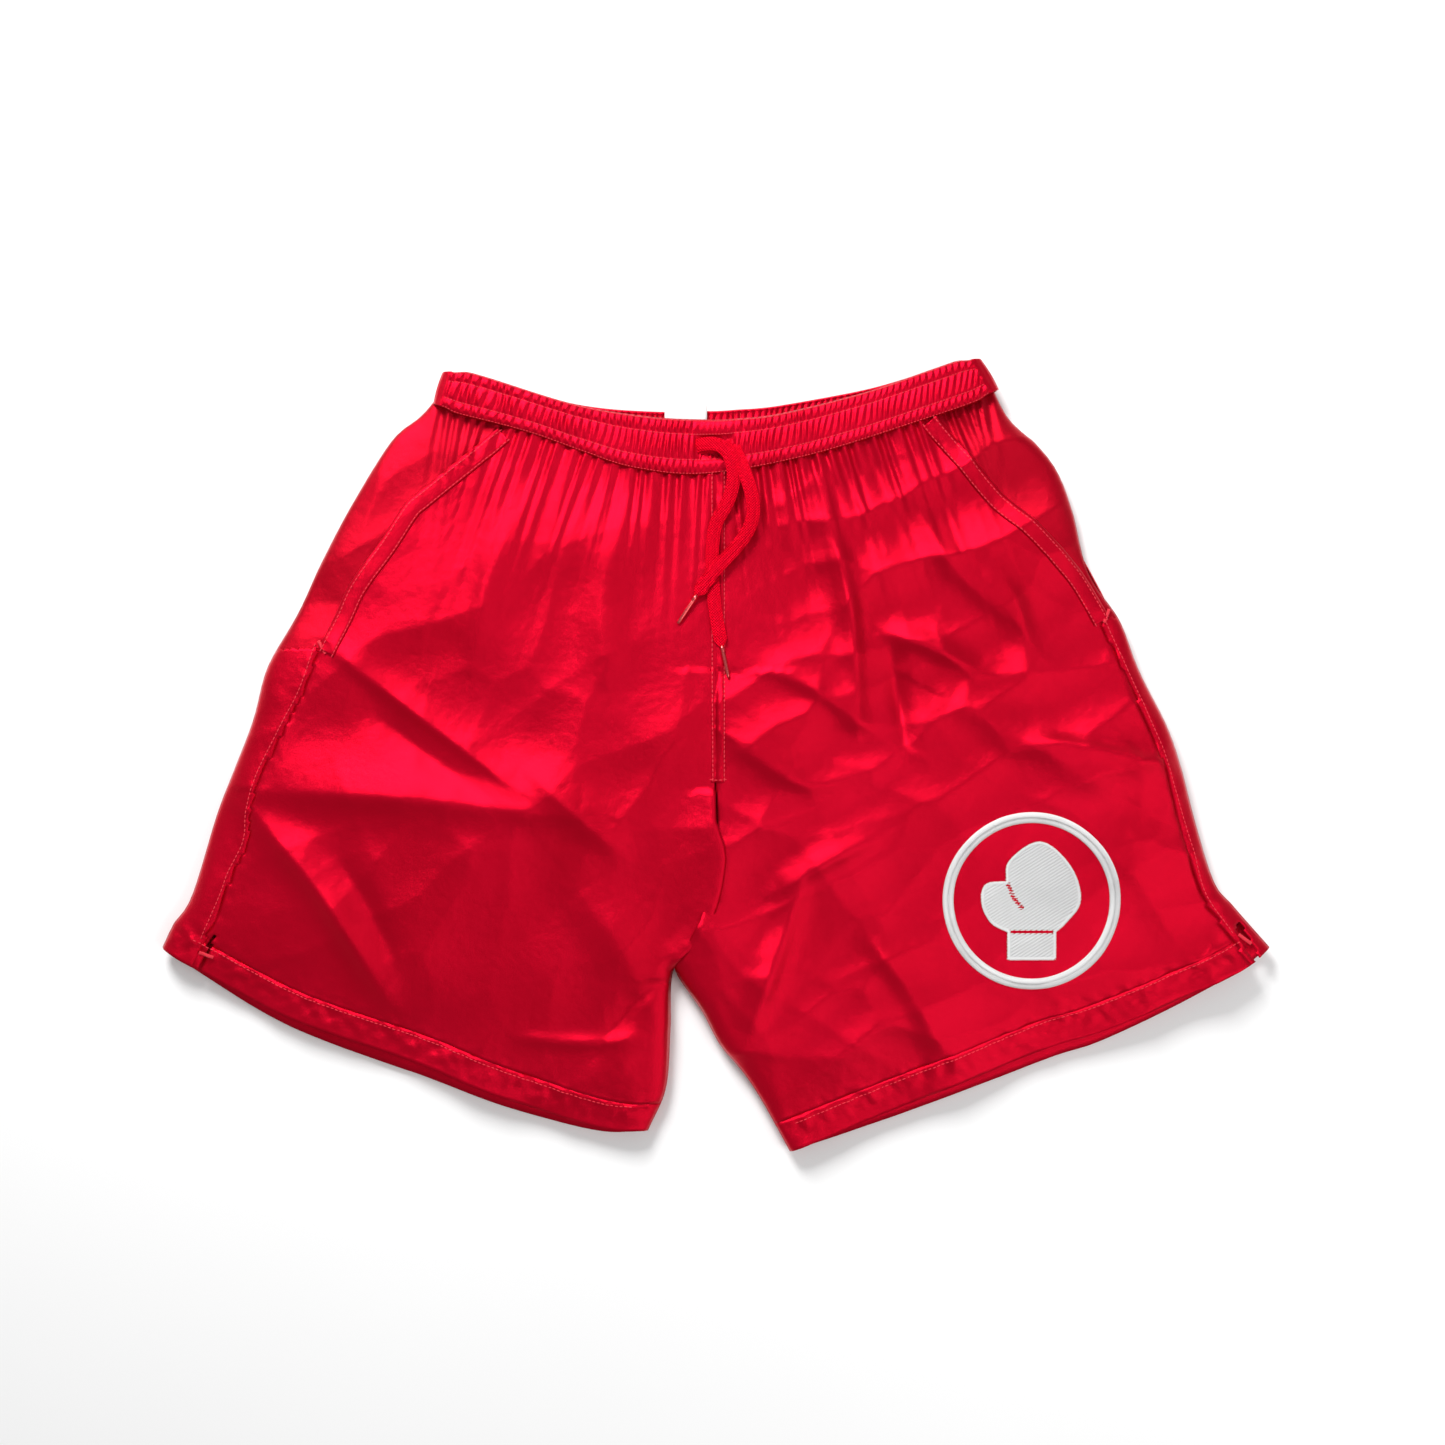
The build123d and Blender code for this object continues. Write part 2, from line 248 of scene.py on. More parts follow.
# %% Mesh helpers
def piece(name, points, faces, finish, body="shorts", up=None, thick=0.0, node=()):
    points = np.asarray(points, float)
    faces = [list(face) for face in faces]
    used = sorted({i for face in faces for i in face})
    new_index = {old: new for new, old in enumerate(used)}
    mesh = bpy.data.meshes.new(name)
    mesh.from_pydata(
        (points[used] * MM).tolist(), [], [[new_index[i] for i in face] for face in faces]
    )
    mesh.update()
    if up is not None:
        normals = np.zeros(len(mesh.polygons) * 3)
        mesh.polygons.foreach_get("normal", normals)
        if normals[2::3].sum() * up < 0:
            mesh.flip_normals()
    mesh.polygons.foreach_set("use_smooth", [True] * len(mesh.polygons))
    mesh.materials.append(finish)
    made = bpy.data.objects.new(name, mesh)
    scene.collection.objects.link(made)
    if thick:
        shell = made.modifiers.new("thickness", "SOLIDIFY")
        shell.thickness = thick * MM
        shell.offset = -1.0
        flat = bpy.data.meshes.new_from_object(
            made.evaluated_get(bpy.context.evaluated_depsgraph_get())
        )
        made.modifiers.clear()
        made.data = flat
    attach(made, body)
    if node:
        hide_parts(*([node] if isinstance(node, str) else node))
    return made


def grid_faces(rows, columns, closed=False):
    faces = []
    for i in range(rows - 1):
        for j in range(columns if closed else columns - 1):
            k = (j + 1) % columns
            here, after = i * columns, (i + 1) * columns
            faces.append((here + j, here + k, after + k, after + j))
    return faces


def smooth_path(points, count):
    """Evenly spaced points on a smooth line through the given ones."""
    p = np.array(points, float)
    p = np.vstack([2 * p[0] - p[1], p, 2 * p[-1] - p[-2]])
    t = np.linspace(0, 1, 12, endpoint=False)[:, None]
    out = []
    for a, b, c, d in zip(p[:-3], p[1:-2], p[2:-1], p[3:]):
        out.append(
            0.5 * (2 * b + (c - a) * t + (2 * a - 5 * b + 4 * c - d) * t**2
                   + (3 * b - a - 3 * c + d) * t**3)
        )
    line = np.vstack([*out, p[-2]])
    run = np.concatenate([[0], np.cumsum(np.linalg.norm(np.diff(line, axis=0), axis=1))])
    at = np.linspace(0, run[-1], count)
    return np.column_stack([np.interp(at, run, line[:, k]) for k in range(p.shape[1])])


def tube_faces(rings, sides):
    faces = grid_faces(rings, sides, closed=True)
    faces.append(tuple(range(sides))[::-1])
    faces.append(tuple((rings - 1) * sides + k for k in range(sides)))
    return faces


# %% [markdown]
# ## The drawcord
# A flat braided cord comes out of a window in the band and falls in two free tails, each
# with a metal tip. The line is a NURBS spline through the route's control points. The tape
# follows points read from that spline, and a rib stands every 1.5 mm across it, as in a braid.

# %% The two tails and their tips
TAPE_WIDTH = 9.0
TAPE_THICK = 1.7
TAPE_SIDES, TIP_SIDES = 44, 24
RIB_PITCH, RIB_DEPTH = 1.5, 0.30
PINCH_LENGTH, PINCHED_TO = 0.006, 0.26
left_route = [
    (-13.0, 202.3, 17.4), (-1.0, 204.5, 23.2), (9.2, 197.0, 23.2), (12.5, 180.5, 23.0),
    (7.9, 164.0, 20.8), (-0.7, 151.5, 19.5), (-2.6, 134.3, 18.8), (-2.2, 110.0, 18.4),
    (0.2, 88.0, 18.3), (4.3, 68.6, 18.2),
]
right_route = [
    (11.2, 202.3, 18.6), (18.9, 184.3, 25.6), (25.0, 164.7, 23.8), (23.8, 150.8, 22.5),
    (15.8, 137.6, 21.6), (2.6, 124.4, 21.2), (-7.6, 111.6, 20.7), (-14.0, 102.0, 19.6),
]


def spline_points(name, route):
    curve = bpy.data.curves.new(name, "CURVE")
    curve.dimensions = "3D"
    curve.resolution_u = 24
    spline = curve.splines.new("NURBS")
    spline.points.add(len(route) - 1)
    for point, place in zip(spline.points, route):
        point.co = (*(c * MM for c in place), 1.0)
    spline.order_u = 3
    spline.use_endpoint_u = True
    bare = bpy.data.objects.new(name, curve)
    scene.collection.objects.link(bare)
    read = bpy.data.meshes.new_from_object(bare)
    line = np.array([v.co[:] for v in read.vertices])
    bpy.data.objects.remove(bare)
    bpy.data.meshes.remove(read)
    return line


def frames_along(line):
    ahead = np.gradient(line, axis=0)
    ahead /= np.linalg.norm(ahead, axis=1)[:, None]
    across = np.column_stack([-ahead[:, 1], ahead[:, 0], np.zeros(len(ahead))])
    across /= np.linalg.norm(across, axis=1)[:, None]
    return ahead, across, np.cross(ahead, across)


def cord_tail(side, route, tip_length):
    line = spline_points("route_" + side, route)
    length = float(np.linalg.norm(np.diff(line, axis=0), axis=1).sum())
    ahead, across, upward = frames_along(line)
    turn = np.linspace(0, 2 * math.pi, TAPE_SIDES, endpoint=False)
    wide = np.sign(np.cos(turn)) * np.abs(np.cos(turn)) ** 0.6 * TAPE_WIDTH / 2
    ribs = 1.0 + RIB_DEPTH * np.cos(wide * 2 * math.pi / RIB_PITCH)
    tall = np.sign(np.sin(turn)) * np.abs(np.sin(turn)) ** 0.6 * TAPE_THICK / 2 * ribs
    run = np.concatenate([[0], np.cumsum(np.linalg.norm(np.diff(line, axis=0), axis=1))])
    pinch = np.clip((length - run) / PINCH_LENGTH, PINCHED_TO, 1.0)
    rings = [
        c + a * w + u * h
        for c, a, u, s in zip(line, across, upward, pinch)
        for w, h in zip(wide * MM * s, tall * MM)
    ]
    body = "drawcord_" + side
    made = piece(
        "cord_tape_" + side, np.array(rings) / MM, tube_faces(len(line), TAPE_SIDES), tape,
        body, node="drawcord_tail_" + side,
    )
    profile = [(-2.5, 1.0), (-2.5, 1.22), (0, 1.25), (1.5, 1.2), (2.0, 1.05), (2.5, 1.2),
               (tip_length - 2, 1.18), (tip_length - 0.6, 0.95), (tip_length, 0.45)]
    end, out, side_way, top_way = line[-1] / MM, ahead[-1], across[-1], upward[-1]
    tip_turn = np.linspace(0, 2 * math.pi, TIP_SIDES, endpoint=False)
    tip_points = [
        end + out * d + r * (side_way * math.cos(t) + top_way * math.sin(t))
        for d, r in profile
        for t in tip_turn
    ]
    tip = piece("aglet_tip_" + side, tip_points, tube_faces(len(profile), TIP_SIDES),
                metal.material, body, node="aglet_" + side)
    print("cord", side, round(length, 4), "m")


cord_tail("left", left_route, 19.0)
cord_tail("right", right_route, 20.0)

# %% [markdown]
# ## Lines of the garment
# A pattern maker starts from the outlines: the sides, hems, inner edges of the legs and the
# seams. Each is a short list of points, smoothed when it is used.

# %% Outlines and seams
side_lines = {
    "left": [(-183, 237), (-195, 223), (-214.5, 206.3), (-240.2, 165.3), (-260.7, 126.4),
             (-275.9, 93.4), (-296.3, 57.1), (-306, 22), (-318.1, -9.6), (-330, -40.6),
             (-346.5, -94.1), (-358.4, -112.5), (-366, -128)],
    "right": [(182, 243), (194, 220.5), (212.5, 203.6), (225.7, 185.8), (235.6, 160.1),
              (246.2, 119.1), (266.6, 88.1), (279.8, 54.5), (297.7, 18.8), (307.6, -9.6),
              (316.8, -45.2), (329.3, -85), (341.9, -100.7), (366, -128)],
}
inner_lines = {
    "left": [(0, 196), (0, 80), (0, -31), (2, -48), (6, -61), (6.6, -74), (1.3, -100),
             (-11, -124), (-28, -143), (-30, -182), (-33, -220.8), (-44.9, -249.2)],
    "right": [(0, 196), (0, 80), (0, -31), (-2, -60), (-8, -100), (-20, -128), (-27, -143),
              (-9.9, -169.3), (2.6, -192.4), (18.5, -211.5), (31, -230.7), (48.8, -263)],
}
top_lines = {
    "left": [(0, 196), (-54, 200), (-88, 210), (-125, 222), (-155, 232), (-183, 237)],
    "right": [(0, 196), (63, 206), (141, 231), (165, 240), (182, 243)],
}
hem_lines = {
    "left": [(-44.9, -249.2), (-78.5, -246.5), (-142.6, -226.1), (-194, -205.6),
             (-281.2, -174.6), (-341, -143), (-366, -128)],
    "right": [(48.8, -263), (112.9, -236.6), (215.2, -195.7), (259.4, -181.2),
              (340, -145), (366, -128)],
}
seam_lines = {
    "left": [(-260.7, 70.3), (-270.6, 41.9), (-283.8, 16.2), (-299, -14.9), (-305.6, -38),
             (-308.2, -58.4), (-318.1, -78.9), (-324, -95), (-336, -122)],
    "right": [(252, 90), (271, 47), (280, 27), (291, 1), (301, -31), (311, -64), (320, -94),
              (337, -119)],
}
mouth_lines = {
    "left": [(-143, 214), (-165, 196), (-195, 172), (-205, 163), (-220, 140), (-240, 112),
             (-250, 91), (-261, 69)],
    "right": [(144.5, 222), (166, 197), (189, 170), (210.5, 152), (228, 134), (243.5, 116.5),
              (259, 90)],
}
vent_lines = {
    "left": [(-331, -121), (-336, -133), (-341, -146)],
    "right": [(344.5, -113), (350, -125), (358, -140)],
}
fold_strokes = {
    "left": [
        ([(-224, 25), (-185, -5), (-146, -31)], -4.0, 9, 9),
        ([(-298, -24), (-190, -30), (-90, -41)], 8.0, 22, 12),
        ([(-126, -8), (-90, -40), (-63, -64)], 5.0, 10, 10),
        ([(-304, -37), (-255, -97), (-215, -163)], 6.5, 12, 9),
        ([(-248, -70), (-230, -100), (-212, -136)], -4.0, 10, 10),
        ([(-90, -90), (-60, -130), (-42, -169)], 4.5, 22, 16),
        ([(-129, -187), (-85, -190), (-50, -187)], 2.5, 5, 5),
        ([(-250, 68), (-209, 35), (-129, -24)], 3.5, 8, 5),
        ([(-60, 160), (-75, 100), (-70, 40)], 3.5, 18, 12),
        ([(-120, 180), (-150, 110), (-160, 60)], 3.5, 16, 10),
        ([(-28, -143), (-55, -165), (-80, -200)], -3.0, 6, 8),
    ],
    "right": [
        ([(65, 180), (87, 101), (94, 22)], 6.5, 7, 10),
        ([(111, 80), (140, 70), (171, 55)], 5.5, 10, 6),
        ([(115, 68), (121, 30), (125, -1)], -4.5, 7, 7),
        ([(154, 35), (205, 8), (260, -24)], 8.0, 26, 14),
        ([(55, -90), (38, -140), (22, -185)], 6.0, 7, 10),
        ([(42, -90), (75, -70), (108, -54)], 6.0, 12, 7),
        ([(296, -8), (255, 2), (214, 9)], 4.5, 8, 5),
        ([(120, 190), (150, 130), (190, 90)], 4.5, 12, 8),
        ([(100, -120), (130, -160), (150, -200)], 4.5, 12, 8),
        ([(20, 60), (60, 45), (95, 20)], 4.0, 9, 6),
        ([(15, 5), (60, -20), (110, -10)], 4.5, 12, 7),
        ([(180, 130), (200, 90), (205, 50)], 4.0, 8, 10),
    ],
}


def nearest(points, line):
    """For each point: its distance to the line, which side it is on, and how far along."""
    line = np.asarray(line, float)
    best = np.full(len(points), 1e9)
    hand = np.zeros(len(points))
    share = np.zeros(len(points))
    for i, (a, b) in enumerate(zip(line[:-1], line[1:])):
        run = b - a
        t = np.clip(((points - a) @ run) / (run @ run), 0, 1)
        gap = points - (a + t[:, None] * run)
        d = np.hypot(gap[:, 0], gap[:, 1])
        closer = d < best
        best[closer] = d[closer]
        turn = run[0] * gap[:, 1] - run[1] * gap[:, 0]
        hand[closer] = np.sign(turn[closer])
        share[closer] = ((i + t) / (len(line) - 1))[closer]
    return best, hand, share


def rough(points, size, seed, depth=2):
    """Smooth noise of about that size, from -1 to 1."""
    return np.array(
        [noise.fractal(Vector((x / size, y / size, seed)), 1.0, 2.0, depth) for x, y in points]
    )


print("fold strokes", {side: len(strokes) for side, strokes in fold_strokes.items()})


# %% [markdown]
# ## The lie of the cloth
# The front panel is one sheet over air, so its height is a rule: round at the sides, higher
# in the middle, lower at the hem. Folds are added along drawn strokes with a steep and a
# slack side. Below the band the sheet is gathered, and at each seam it puckers.


# %% Height of the front
def hollows(points, lean, size, stretch, seed):
    """Shallow hollows that meet in straight sharp ridges, longer along the lean."""
    c, s = math.cos(lean), math.sin(lean)
    along = (points[:, 0] * c + points[:, 1] * s) / (size * stretch)
    across = (points[:, 1] * c - points[:, 0] * s) / size
    bend = 0.25 * rough(points, 120, seed)
    deep = [noise.voronoi(Vector((a, b, seed)))[0][0] for a, b in zip(along, across + bend)]
    return np.array(deep) ** 2 - 0.25


EDGE_Z = 8.0
FRONT_Z = 16.6
HEM_DROP = 4.0
PLEATS, HEM_WAVES = 21, 3.2
# The lean in degrees, the turn of the fine hollows in radians, and both depths in mm.
HOLLOWS = {"left": (28, 0.7, 6.0, 2.6), "right": (-52, 1.25, 8.0, 7.5)}
EMBLEM = np.array([207.5, -96.7])


def rounded(distance, reach):
    near = np.clip(distance / reach, 0, 1)
    return np.sqrt(1 - (1 - near) ** 2)


def front_z(points, side):
    points = np.asarray(points, float)
    hem, _, along_hem = nearest(points, smooth_path(hem_lines[side], 40))
    outer, _, _ = nearest(points, smooth_path(side_lines[side], 60))
    leg = smooth_path(inner_lines[side], 60)
    inner, _, _ = nearest(points, leg[leg[:, 1] < -140])
    centre, _, _ = nearest(points, leg[leg[:, 1] > -150])
    seam, _, _ = nearest(points, smooth_path(seam_lines[side], 40))
    band, _, along = nearest(points, smooth_path(top_lines[side], 40))
    lift = np.zeros(len(points))
    for stroke, height, slack_width, steep_width in fold_strokes[side]:
        d, hand, share = nearest(points, smooth_path(stroke, 16))
        width = np.where(hand > 0, slack_width, steep_width)
        fade = np.sin(math.pi * np.clip(share * 0.9 + 0.05, 0, 1)) ** 0.6
        lift += height * fade * np.exp(-((d / width) ** 1.6))
    lean, turn, broad, fine = HOLLOWS[side]
    lift += hollows(points, math.radians(lean), 78, 2.4, 11.0) * broad
    lift += hollows(points, math.radians(lean) + turn, 36, 2.0, 23.0) * fine
    lift += 2.2 * rough(points, 90, 5.0)
    quiet = 1 - 0.9 * np.exp(-((points[:, 0] / 42) ** 4)) * (points[:, 1] > 55)
    from_emblem = np.hypot(points[:, 0] - EMBLEM[0], points[:, 1] - EMBLEM[1])
    stiffened = 1 - 0.5 * np.exp(-((from_emblem / 62) ** 4))
    lift *= quiet * np.clip(band / 30, 0.15, 1) * stiffened
    drawn = np.column_stack([along * 190, np.zeros(len(points))])
    pleat = np.sin(along * 2 * math.pi * PLEATS + 3.0 * rough(drawn, 16, 2.0))
    pleat_length = 30 + 30 * rough(drawn, 11, 8.0)
    pleat_fade = np.exp(-np.clip(band - 6, 0, None) / np.clip(pleat_length, 10, 60))
    lift += 1.9 * np.sign(pleat) * np.abs(pleat) ** 1.3 * pleat_fade
    pucker = rough(points, 7, 4.0)
    lift += 1.7 * pucker * np.exp(-(((hem - 14) / 9) ** 2))
    lift -= 0.9 * np.exp(-((seam / 1.4) ** 2)) - 0.6 * pucker * np.exp(-((seam / 7) ** 2))
    lift -= 1.0 * np.exp(-((centre / 1.6) ** 2)) - 0.5 * pucker * np.exp(-((centre / 7) ** 2))
    lift += 1.5 * np.sin(along_hem * 2 * math.pi * HEM_WAVES + 0.7) * np.exp(-((hem / 40) ** 2))
    if side == "left":
        over = (points[:, 1] < -25) & (points[:, 1] > -150)
        lift += np.where(over, 3.0 * np.exp(-((centre / 14) ** 2)), 0)
    base = FRONT_Z - HEM_DROP * np.exp(-((hem / 50) ** 2))
    share = rounded(outer, 16.0) * rounded(inner, 12.0)
    return EDGE_Z + (base + lift - EDGE_Z) * share


def coons(side, rows, columns, hem_out=0.0):
    """A net of points between the top, the hem, the inner line and the side."""
    u = np.linspace(0, 1, columns)[None, :, None]
    v = np.linspace(0, 1, rows)[:, None, None]
    inner = smooth_path(inner_lines[side], rows)[:, None, :]
    outer = smooth_path(side_lines[side], rows)[:, None, :]
    top = smooth_path(top_lines[side], columns)[None, :, :]
    hem = smooth_path(hem_lines[side], columns)[None, :, :].copy()
    hem[:, :, 1] -= hem_out * np.sin(math.pi * np.linspace(0, 1, columns)) ** 0.7
    corners = (
        (1 - u) * (1 - v) * top[:, :1] + u * (1 - v) * top[:, -1:]
        + (1 - u) * v * hem[:, :1] + u * v * hem[:, -1:]
    )
    net = (1 - u) * inner + u * outer + (1 - v) * top + v * hem - corners
    return net.reshape(-1, 2)


print("the front stands about", FRONT_Z, "mm high, and its edges", EDGE_Z, "mm")


# %% [markdown]
# ## Panels, pocket facings and hems
# One net per leg is shared out: the front panel, the turned hem at its foot, the strip of
# back panel that wraps forward past the side seam, and the pocket facing, which lies lower.

# %% The four panels
ROWS, COLUMNS = 210, 170
HEM_ROWS = 9
FACING_DEPTH = 3.2
PANEL_SHORT_OF_MOUTH, FACING_UNDER_PANEL = 3.0, 14.0
SLIT_REACH = {"left": 1.4, "right": 2.6}
BACK_ROWS, BACK_COLUMNS, BACK_HEM_ROWS = 110, 110, 8
all_faces = np.array(grid_faces(ROWS, COLUMNS))
made = {}


def outboard(points, side):
    """Distance beyond the pocket mouth, towards the side; negative is under the panel."""
    line = smooth_path(mouth_lines[side], 50)
    d, hand, _ = nearest(points, line)
    sign = -hand if side == "left" else hand
    return d * sign


for side in ("left", "right"):
    flat = coons(side, ROWS, COLUMNS)
    z = front_z(flat, side)
    points = np.column_stack([flat, z])
    middle = flat[all_faces].mean(axis=1)
    row = np.arange(len(all_faces)) // (COLUMNS - 1)
    foot_y = mouth_lines[side][-1][1]
    beyond = outboard(middle, side)
    in_pocket = (beyond > -PANEL_SHORT_OF_MOUTH) & (middle[:, 1] > foot_y)
    seam_d, seam_hand, _ = nearest(middle, smooth_path(seam_lines[side], 60))
    wrapped = (seam_hand * (-1 if side == "left" else 1) > 0) & (middle[:, 1] < foot_y)
    hem = row >= ROWS - 1 - HEM_ROWS
    vent_d, _, _ = nearest(middle, vent_lines[side])
    open_slit = vent_d < SLIT_REACH[side]
    panel = ~in_pocket & ~wrapped & ~hem & ~open_slit
    made["front_" + side] = piece(
        "front_cloth_" + side, points, all_faces[panel], nylon, up=1, thick=0.8,
        node="front_panel_" + side,
    )
    made["hem_front_" + side] = piece(
        "turned_hem_front_" + side, points, all_faces[hem & ~wrapped & ~open_slit], nylon,
        up=1, thick=2.0, node="hem_front_" + side,
    )
    outer, _, _ = nearest(flat, smooth_path(side_lines[side], 60))
    from_foot = np.clip((flat[:, 1] - foot_y) / 30, 0.25, 1)
    low = np.column_stack([flat, z - FACING_DEPTH * from_foot * rounded(outer, 14.0)])
    in_facing = (beyond > -FACING_UNDER_PANEL) & (middle[:, 1] > foot_y - 2)
    # The facing wears the darker copy of the nylon, which is painted shade for its place below the
    # panel edge.
    made["facing_" + side] = piece(
        "painted_shade_facing_cloth_" + side, low, all_faces[in_facing], painted_shade_facing_cloth, up=1,
        thick=0.7, node="pocket_facing_" + side,
    )
    under = coons(side, BACK_ROWS, BACK_COLUMNS, hem_out=8.5)
    under_outer, _, _ = nearest(under, smooth_path(side_lines[side], 60))
    leg = smooth_path(inner_lines[side], 60)
    under_inner, _, _ = nearest(under, leg[leg[:, 1] < -140])
    share = rounded(under_outer, 14.0) * rounded(under_inner, 10.0)
    under_z = EDGE_Z - (EDGE_Z - 1.6) * share + 0.5 * share * rough(under, 30, 7.0)
    back_points = np.column_stack([under, np.maximum(under_z, 0.9)])
    back_faces = grid_faces(BACK_ROWS, BACK_COLUMNS)
    hem_from = (BACK_ROWS - BACK_HEM_ROWS) * (BACK_COLUMNS - 1)
    made["hem_back_" + side] = piece(
        "turned_hem_back_" + side, back_points, back_faces[hem_from:], nylon,
        up=-1, thick=1.8, node="hem_back_" + side,
    )
    made["back_" + side] = piece(
        "back_cloth_" + side, back_points, back_faces[:hem_from], nylon, up=-1,
        thick=0.8, node="back_panel_" + side,
    )
    made["strip_" + side] = piece(
        "wrapped_strip_" + side, points, all_faces[wrapped & ~open_slit], nylon,
        up=1, thick=0.8,
    )
    print(side, "panel faces", int(panel.sum()), "facing", int(in_facing.sum()))


# %% [markdown]
# ## Pocket welts and bags
# The mouth of each pocket is a turned strip of the same cloth, stitched down. It stands a
# little above the panel and rolls over at its edge. The bag hangs inside, in thin lining.


# %% Welts and bags
def offset_line(line, distance):
    line = np.asarray(line, float)
    ahead = np.gradient(line, axis=0)
    ahead /= np.linalg.norm(ahead, axis=1)[:, None]
    return line + np.column_stack([-ahead[:, 1], ahead[:, 0]]) * distance


WELT_POINTS = 170
BAG_FLOOR, BAG_RISE, BAG_NARROWED = 0.0035, 0.004, 0.97
welt_profile = [(-0.6, -1.9), (-0.3, -0.4), (0.3, 0.7), (1.2, 1.1), (3.0, 1.2), (6.0, 1.2),
                (9.0, 1.2), (11.0, 1.0), (11.8, 0.1)]
for side in ("left", "right"):
    line = smooth_path(mouth_lines[side], WELT_POINTS)
    inward = 1 if side == "left" else -1
    columns = [offset_line(line, inward * d) for d, _ in welt_profile]
    points = []
    for column, (_, rise) in zip(columns, welt_profile):
        points.append(np.column_stack([column, front_z(column, side) + rise]))
    made["welt_" + side] = piece(
        "pocket_welt_cloth_" + side, np.vstack(points), grid_faces(len(points), WELT_POINTS),
        nylon, up=1, thick=0.7, node="pocket_welt_" + side,
    )
    cad_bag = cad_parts["pocket_bag_" + side].data
    shape = bmesh.new()
    shape.from_mesh(cad_bag)
    bmesh.ops.remove_doubles(shape, verts=shape.verts, dist=1e-5)
    low_z, high_z = (c[2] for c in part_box("pocket_bag_" + side))
    for vertex in shape.verts:
        share = (vertex.co.z - low_z) / (high_z - low_z)
        vertex.co.z = BAG_FLOOR + BAG_RISE * share
        vertex.co.x *= BAG_NARROWED
    bag_mesh = bpy.data.meshes.new("lining_bag_" + side)
    shape.to_mesh(bag_mesh)
    shape.free()
    bag_mesh.materials.clear()
    bag_mesh.materials.append(lining)
    bag = bpy.data.objects.new("lining_bag_" + side, bag_mesh)
    scene.collection.objects.link(bag)
    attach(bag, "shorts")
    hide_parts("pocket_bag_" + side)
    made["bag_" + side] = bag
    print(side, "welt points", len(points) * WELT_POINTS, "bag", len(bag_mesh.vertices))

# %% [markdown]
# ## The waistband
# The band is one casing sewn in three channels: elastic above and below, the cord between.
# Drawn-up elastic bunches the cloth into pleats that stop at each row of stitches. It is
# made as one flattened ring, so front and back meet in a round fold at both ends.

# %% The ring of the band
BAND_FRONT_Z = 18.9
BAND_BACK_Z = 3.6
BAND_STATION = 0.52
BAND_ROWS = 30
band_top = smooth_path([(-172, 253), (-151, 247.5), (-92.4, 229.4), (-43.6, 221.4), (-7.3, 219.5),
                        (12.5, 220), (42.2, 223.4), (97.7, 237.3), (137.9, 251.1), (166, 261)], 700)
band_foot = smooth_path([(-180, 225), (-125, 211), (-88, 198), (-54, 187), (-7, 183), (63, 195.7),
                         (141.6, 220.4), (181, 234)], 700)
channels = [0.0, 0.26, 0.74, 1.0]


def band_pleats(x, t, front):
    """Height of the bunched cloth over one channel, at each x, for a share t of the depth."""
    index = min(int(np.searchsorted(channels, t, side="right")) - 1, 2)
    low, high = channels[index], channels[index + 1]
    swell = math.sin(math.pi * (t - low) / (high - low)) ** 0.5 if low < t < high else 0.0
    wave = np.where(x < 0, 3.7 + 2.3 * np.clip(-x / 170, 0, 1), 4.2)
    phase = np.cumsum(np.gradient(x) / wave) * 2 * math.pi
    slant = np.where(x < -20, 2.2 * t, 0.0) + np.where(x > 20, index * 2.1, 0.0)
    wobble = np.array([noise.noise(Vector((c / 16, t * 1.3, index * 3.0 * (c > 0)))) for c in x])
    pleat = 0.5 + 0.5 * np.cos(phase + slant + 3.6 * wobble)
    flat = np.exp(-(((x + 1) / 15) ** 6))
    if not front:
        flat = np.zeros_like(x)
    return swell * (0.45 + (1.25 + 0.7 * wobble) * pleat**0.8 * (1 - 0.85 * flat))


def band_ring(shares, inset, bunched):
    rings = []
    for t in shares:
        station = np.arange(len(band_top))
        from_end = np.minimum(station, station[::-1]) * BAND_STATION
        t_here = (0.5 + (t - 0.5) * (1 - 0.16 * np.exp(-((from_end / 6) ** 2))))[:, None]
        line = band_top * (1 - t_here) + band_foot * t_here
        raised = line.copy()
        raised[:, 1] += 8.0 * np.exp(-(((line[:, 0] - 15) / 95) ** 2))
        edge = 1.6 * (abs(2 * t - 1) ** 8)
        z = BAND_FRONT_Z - inset - edge * np.ones(len(line))
        back_z = BAND_BACK_Z + inset * np.ones(len(line))
        if bunched:
            z += band_pleats(line[:, 0], t, True)
            back_z -= 0.7 * band_pleats(line[:, 0] + 40, t, False)
            window = np.exp(-(((line[:, 0] + 1) / 12.5) ** 8) - (((t - 0.52) / 0.22) ** 8))
            z -= 2.2 * window
        middle, reach = (BAND_FRONT_Z + BAND_BACK_Z) / 2, (BAND_FRONT_Z - BAND_BACK_Z) / 2
        turn = np.linspace(0, math.pi, 26)[1:-1]
        ahead = (line[-1] - line[-8]) / np.linalg.norm(line[-1] - line[-8])
        behind = (line[0] - line[7]) / np.linalg.norm(line[0] - line[7])
        ripple = 0.8 * np.sin(turn * 9) * (0.3 + 0.7 * math.sin(math.pi * t)) * bunched
        round_out = (reach - inset + ripple) * np.sin(turn)
        up = middle + (reach - inset) * np.cos(turn)
        right = np.column_stack([line[-1] + ahead * round_out[:, None], up])
        left = np.column_stack([line[0] + behind * round_out[:, None], up[::-1]])
        front_line = np.column_stack([line, z])
        back_line = np.column_stack([raised, np.maximum(back_z, 0.8)])[::-1][::2]
        rings.append(np.vstack([front_line, right, back_line, left]))
    return np.array(rings)


